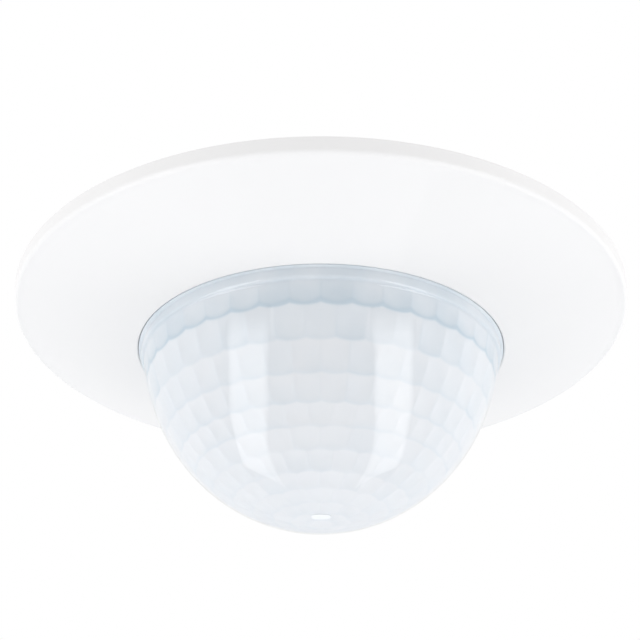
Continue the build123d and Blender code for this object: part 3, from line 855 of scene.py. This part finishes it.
# rubber inlet grommet with a lipped bore
profile = [(3.62, 33.1), (3.9, 33.0), (5.9, 33.0), (6.12, 33.08), (6.2, 33.3), (6.2, 34.1), (6.12, 34.32), (5.9, 34.4), (5.12, 34.4),
           (5.0, 34.52), (5.0, 35.88), (5.1, 36.0), (5.95, 36.0), (6.12, 36.06), (6.2, 36.25), (6.2, 36.7), (6.1, 36.98), (5.85, 37.17),
           (5.5, 37.27), (5.2, 37.3), (5.05, 37.2), (4.9, 37.14), (4.75, 37.2), (4.6, 37.3), (4.2, 37.3), (3.85, 37.22), (3.62, 37.0)]
for k in range(5):
    z = 36.75 - 0.74 * k
    profile += [(3.52, z), (3.5, z - 0.12), (3.56, z - 0.24), (3.8, z - 0.36), (3.8, z - 0.5)]
verts, faces = [], []
closed_spin(profile, 72, verts, faces, 0.0, 15.5)
settle(make_object("inlet_grommet", verts, faces, MATS["rubber_grey"]), "lid", "cable_grommet", 50.0)

# printed scales round the dials, numbers at the switches, pictograms
verts, faces = [], []
Z0, Z1 = -4.43, -4.39
for cx in (-11.0, 11.0):
    for k in range(11):
        a = math.radians(225.0 - 27.0 * k)
        r0, r1 = 4.0, (5.1 if k in (0, 5, 10) else 4.7)
        stroke(cx + r0 * math.cos(a), -9.0 + r0 * math.sin(a), cx + r1 * math.cos(a), -9.0 + r1 * math.sin(a),
               0.3 if k in (0, 5, 10) else 0.2, Z0, Z1, verts, faces)
# sun and moon at the light dial, clock at the time dial
ring_stroke(-15.8, -12.4, 0.55, 0.2, Z0, Z1, verts, faces)
for k in range(8):
    a = math.pi * k / 4
    stroke(-15.8 + 0.85 * math.cos(a), -12.4 + 0.85 * math.sin(a), -15.8 + 1.2 * math.cos(a), -12.4 + 1.2 * math.sin(a), 0.16, Z0, Z1, verts, faces)
moon = [(-6.9 + 0.85 * math.cos(t), -13.6 + 0.85 * math.sin(t)) for t in [math.radians(60 + 240 * k / 18) for k in range(19)]]
moon += [(-6.55 + 0.72 * math.cos(t), -13.6 + 0.72 * math.sin(t)) for t in [math.radians(285 - 210 * k / 14) for k in range(1, 14)]]
prism(moon, Z0, Z1, verts, faces)
ring_stroke(6.3, -13.3, 0.95, 0.18, Z0, Z1, verts, faces)
stroke(6.3, -13.3, 6.3, -12.75, 0.16, Z0, Z1, verts, faces)
stroke(6.3, -13.3, 6.7, -13.3, 0.16, Z0, Z1, verts, faces)
# thin rings round the test button and the two lamps
ring_stroke(0.0, -14.0, 2.9, 0.18, Z0, Z1, verts, faces)
for lx in (-7.5, 7.5):
    ring_stroke(lx, 5.5, 2.1, 0.16, Z0, Z1, verts, faces)
# switch numbers 1 to 4, drawn from straight strokes, read from below
digits = {
    1: [(0, 0, 0, 2)],
    2: [(-.5, 2, .5, 2), (.5, 2, .5, 1), (.5, 1, -.5, 1), (-.5, 1, -.5, 0), (-.5, 0, .5, 0)],
    3: [(-.5, 2, .5, 2), (.5, 2, .5, 0), (-.5, 1, .5, 1), (-.5, 0, .5, 0)],
    4: [(-.5, 2, -.5, 1), (-.5, 1, .5, 1), (.5, 2, .5, 0)],
}
for n_sw, x in zip((1, 2, 3, 4), (-3.81, -1.27, 1.27, 3.81)):
    for u0, v0, u1, v1 in digits[n_sw]:
        k = 0.62
        stroke(x + u0 * k, 18.3 - v0 * k, x + u1 * k, 18.3 - v1 * k, 0.17, Z0, Z1, verts, faces)
settle(make_object("mask_print", verts, faces, MATS["black_plastic"]), "housing", None, 20.0)

# rating label in its sunk field: a plain sheet with a wiring sketch
def rounded(w, h, r, cx, cy, n=8):
    pts = []
    for qx, qy, a0 in ((1, 1, 0), (-1, 1, 90), (-1, -1, 180), (1, -1, 270)):
        for k in range(n + 1):
            a = math.radians(a0 + 90 * k / n)
            pts.append((cx + qx * (w / 2 - r) + r * math.cos(a), cy + qy * (h / 2 - r) + r * math.sin(a)))
    return pts


verts, faces = [], []
prism(rounded(24.6, 10.8, 0.9, 0, -17.5), 35.655, 35.74, verts, faces)
MATS["label_paper"] = solid("label_paper", (0.80, 0.81, 0.80), rough=(0.3, 0.42), grain=1800.0, mottle=220.0, vary=0.015, edge=0.00008)
settle(make_object("rating_label", verts, faces, MATS["label_paper"]), "housing", None, 30.0)
verts, faces = [], []
Z0, Z1 = 35.73, 35.765


def line(*pts, width=0.2):
    for (x0, y0), (x1, y1) in zip(pts, pts[1:]):
        stroke(x0, y0 - 17.5, x1, y1 - 17.5, width, Z0, Z1, verts, faces)


line((-11.3, 4.3), (-11.3, -4.3), (-1.6, -4.3), (-1.6, 4.3), (-11.3, 4.3), width=0.22)      # outline of the unit
for k in range(5):
    x = -10.4 + 1.95 * k
    ring_stroke(x, -17.5 - 3.0, 0.55, 0.2, Z0, Z1, verts, faces)
line((-10.4, -3.6), (-10.4, -4.9), (10.8, -4.9))
line((-6.5, -3.6), (-6.5, -4.55), (0.4, -4.55), (0.4, 0.6), (2.6, 0.6))
line((6.0, 0.6), (9.8, 0.6), (9.8, -4.9))
ring_stroke(4.3, -16.9, 1.7, 0.2, Z0, Z1, verts, faces)                                        # lamp
line((3.1, -0.6), (5.5, 1.8))
line((3.1, 1.8), (5.5, -0.6))
line((-8.4, 0.2), (-6.9, 0.2), (-5.5, 1.1))                                                     # relay contact
line((-5.3, 0.2), (-3.9, 0.2))
line((-8.9, 2.9), (-3.9, 2.9))
ring_stroke(9.2, -14.2, 1.2, 0.2, Z0, Z1, verts, faces)                                        # pole marks
line((8.4, 3.3), (10.0, 3.3))
line((9.2, 2.5), (9.2, 4.1))
settle(make_object("rating_label_print", verts, faces, MATS["black_plastic"]), "housing", None, 20.0)
